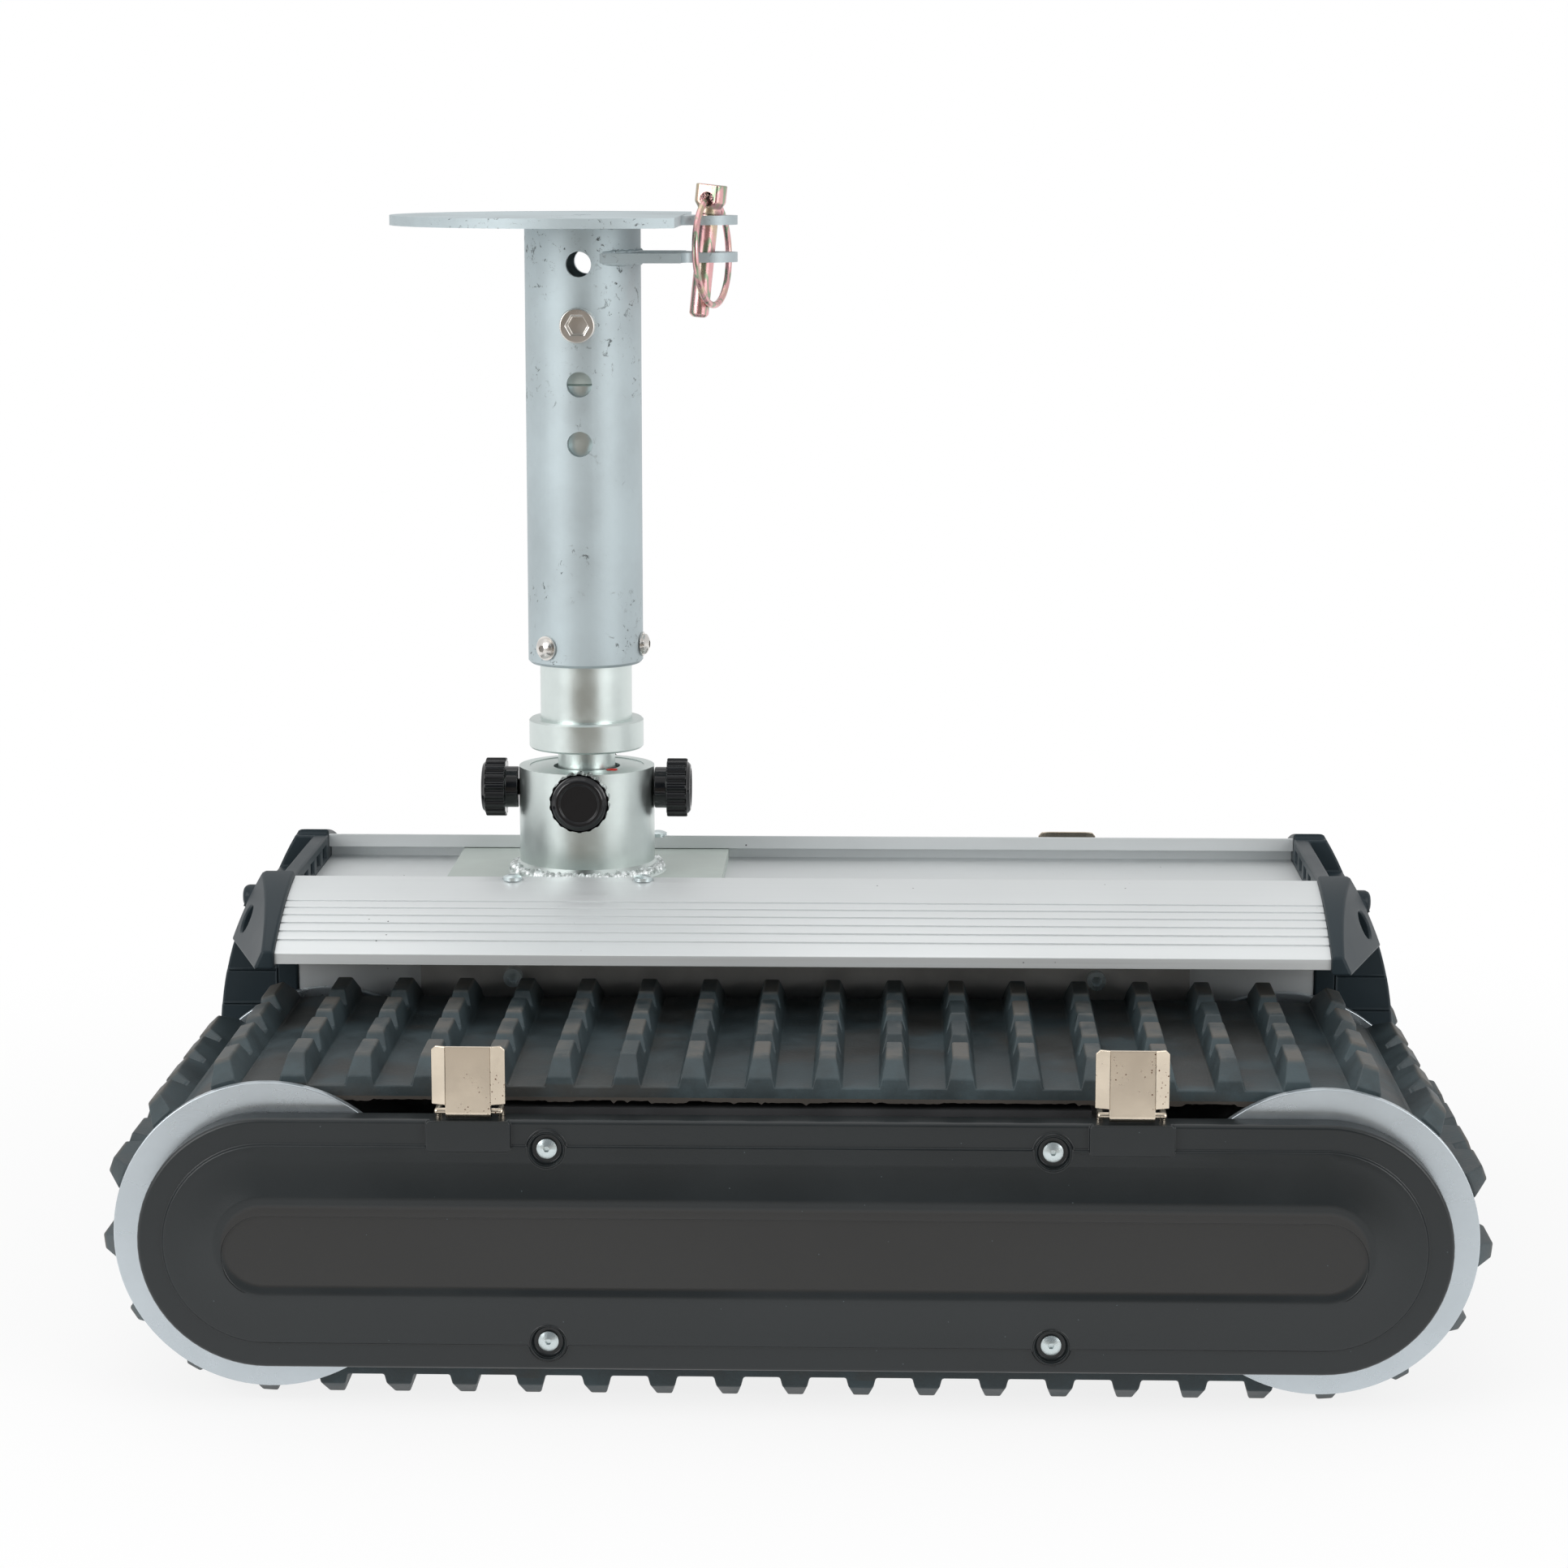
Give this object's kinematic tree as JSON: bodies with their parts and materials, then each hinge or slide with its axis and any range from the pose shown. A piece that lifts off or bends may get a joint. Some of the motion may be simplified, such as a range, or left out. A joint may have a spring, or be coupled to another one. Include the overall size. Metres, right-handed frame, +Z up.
{
  "type": "caravan motor mover",
  "caption": "Remote-controlled caravan mover: low aluminium body on rubber crawler tracks, with a swivelling, height-adjustable support mast and a locking pin.",
  "frame": {"origin": "on the ground under the middle of the body", "axes": "+X along the tracks to the right, +Y to the rear, away from the pictured side, +Z up"},
  "size_m": [0.6548, 0.586, 0.5649],
  "materials": {
    "anodised_aluminium": "satin anodised",
    "moulded_black": "satin moulded",
    "track_rubber": "matt, lightly dusty",
    "zinc_sheet": "bright zinc plated",
    "galvanised_steel": "satin galvanised",
    "turned_steel": "turned and zinc plated",
    "stainless": "bright stainless",
    "nickel": "nickel plated",
    "yellow_zinc": "yellow passivated",
    "knob_black": "glossy moulded",
    "frame_dark": "black powder coat",
    "cast_alloy": "cast",
    "dark_case": "moulded"
  },
  "bodies": {
    "chassis": {"body_extrusion": "anodised_aluminium", "bottom_tray": "anodised_aluminium", "end_cap_left": "moulded_black", "end_cap_right": "moulded_black", "body_screws": "stainless", "mast_socket": "turned_steel", "socket_screws": "stainless", "bearing_cartridge": "turned_steel", "battery": "dark_case", "control_unit": "cast_alloy", "front_motor": "frame_dark", "front_gearbox": "cast_alloy", "rear_motor": "frame_dark", "rear_gearbox": "cast_alloy", "front_track_frame": "galvanised_steel", "front_carrier_plate": "frame_dark", "front_bearings": "stainless", "front_bearing_blocks": "cast_alloy", "front_belt": "track_rubber", "front_cover": "moulded_black", "front_latch_pins": "nickel", "rear_track_frame": "galvanised_steel", "rear_carrier_plate": "frame_dark", "rear_bearings": "stainless", "rear_bearing_blocks": "cast_alloy", "rear_belt": "track_rubber", "rear_cover": "moulded_black", "rear_latch_pins": "nickel", "frame_bolts": "stainless", "cover_screws": "stainless"},
    "front_drive_wheel": {"front_drive_drum": "cast_alloy", "front_drive_flanges": "zinc_sheet", "front_drive_axle": "turned_steel"},
    "front_idle_wheel": {"front_idle_drum": "cast_alloy", "front_idle_flanges": "zinc_sheet", "front_idle_axle": "turned_steel"},
    "front_left_latch": {"front_latch_left": "nickel"},
    "front_right_latch": {"front_latch_right": "nickel"},
    "rear_drive_wheel": {"rear_drive_drum": "cast_alloy", "rear_drive_flanges": "zinc_sheet", "rear_drive_axle": "turned_steel"},
    "rear_idle_wheel": {"rear_idle_drum": "cast_alloy", "rear_idle_flanges": "zinc_sheet", "rear_idle_axle": "turned_steel"},
    "rear_left_latch": {"rear_latch_left": "nickel"},
    "rear_right_latch": {"rear_latch_right": "nickel"},
    "swivel": {"swivel_post": "turned_steel"},
    "mast": {"mast_tube": "galvanised_steel", "top_plate": "galvanised_steel", "lower_ear": "galvanised_steel", "inner_plug": "cast_alloy", "height_bolt": "stainless", "height_nut": "stainless", "guide_screws": "stainless"},
    "pin": {"locking_pin": "yellow_zinc"},
    "ring": {"pin_ring": "yellow_zinc"},
    "front_knob": {"knob_front": "knob_black"},
    "right_knob": {"knob_right": "knob_black"},
    "rear_knob": {"knob_rear": "knob_black"},
    "left_knob": {"knob_left": "knob_black"}
  },
  "joints": [
    {"name": "front_drive_spin", "type": "hinge", "parent": "chassis", "child": "front_drive_wheel", "pos_m": [-0.245, -0.167, 0.0825], "axis": [0, 1, 0], "continuous": true},
    {"name": "front_idle_spin", "type": "hinge", "parent": "chassis", "child": "front_idle_wheel", "pos_m": [0.245, -0.167, 0.0825], "axis": [0, 1, 0], "continuous": true},
    {"name": "front_left_latch_fold", "type": "hinge", "parent": "chassis", "child": "front_left_latch", "pos_m": [-0.1495, -0.2845, 0.1455], "axis": [1, 0, 0], "range_deg": [0, 90]},
    {"name": "front_right_latch_fold", "type": "hinge", "parent": "chassis", "child": "front_right_latch", "pos_m": [0.1555, -0.2845, 0.1455], "axis": [1, 0, 0], "range_deg": [0, 90]},
    {"name": "rear_drive_spin", "type": "hinge", "parent": "chassis", "child": "rear_drive_wheel", "pos_m": [0.245, 0.167, 0.0825], "axis": [0, 1, 0], "continuous": true},
    {"name": "rear_idle_spin", "type": "hinge", "parent": "chassis", "child": "rear_idle_wheel", "pos_m": [-0.245, 0.167, 0.0825], "axis": [0, 1, 0], "continuous": true},
    {"name": "rear_left_latch_fold", "type": "hinge", "parent": "chassis", "child": "rear_left_latch", "pos_m": [0.1495, 0.2845, 0.1455], "axis": [-1, 0, 0], "range_deg": [0, 90]},
    {"name": "rear_right_latch_fold", "type": "hinge", "parent": "chassis", "child": "rear_right_latch", "pos_m": [-0.1555, 0.2845, 0.1455], "axis": [-1, 0, 0], "range_deg": [0, 90]},
    {"name": "mast_swivel", "type": "hinge", "parent": "chassis", "child": "swivel", "pos_m": [-0.116, 0, 0.25], "axis": [0, 0, 1], "continuous": true},
    {"name": "mast_height", "type": "slide", "parent": "swivel", "child": "mast", "axis": [0, 0, 1], "range_m": [0, 0.061]},
    {"name": "pin_pull", "type": "slide", "parent": "mast", "child": "pin", "axis": [0.1045, 0, 0.9945], "range_m": [0, 0.06]},
    {"name": "ring_swing", "type": "hinge", "parent": "pin", "child": "ring", "pos_m": [-0.04992, 0, 0.55654], "axis": [-0.2741, -0.9613, 0.0288], "range_deg": [0, 150]},
    {"name": "front_knob_turn", "type": "hinge", "parent": "chassis", "child": "front_knob", "pos_m": [-0.116, -0.045, 0.25], "axis": [0, -1, 0], "range_deg": [-360, 360]},
    {"name": "right_knob_turn", "type": "hinge", "parent": "chassis", "child": "right_knob", "pos_m": [-0.071, 0, 0.25], "axis": [1, 0, 0], "range_deg": [-360, 360]},
    {"name": "rear_knob_turn", "type": "hinge", "parent": "chassis", "child": "rear_knob", "pos_m": [-0.116, 0.045, 0.25], "axis": [0, 1, 0], "range_deg": [-360, 360]},
    {"name": "left_knob_turn", "type": "hinge", "parent": "chassis", "child": "left_knob", "pos_m": [-0.161, 0, 0.25], "axis": [-1, 0, 0], "range_deg": [-360, 360]}
  ],
  "couplings": [
    {"joint": "front_idle_spin", "follows": "front_drive_spin", "ratio": 1},
    {"joint": "rear_idle_spin", "follows": "rear_drive_spin", "ratio": 1},
    {"joint": "ring_swing", "follows": "pin_pull", "rad_per_m": 43.6}
  ]
}
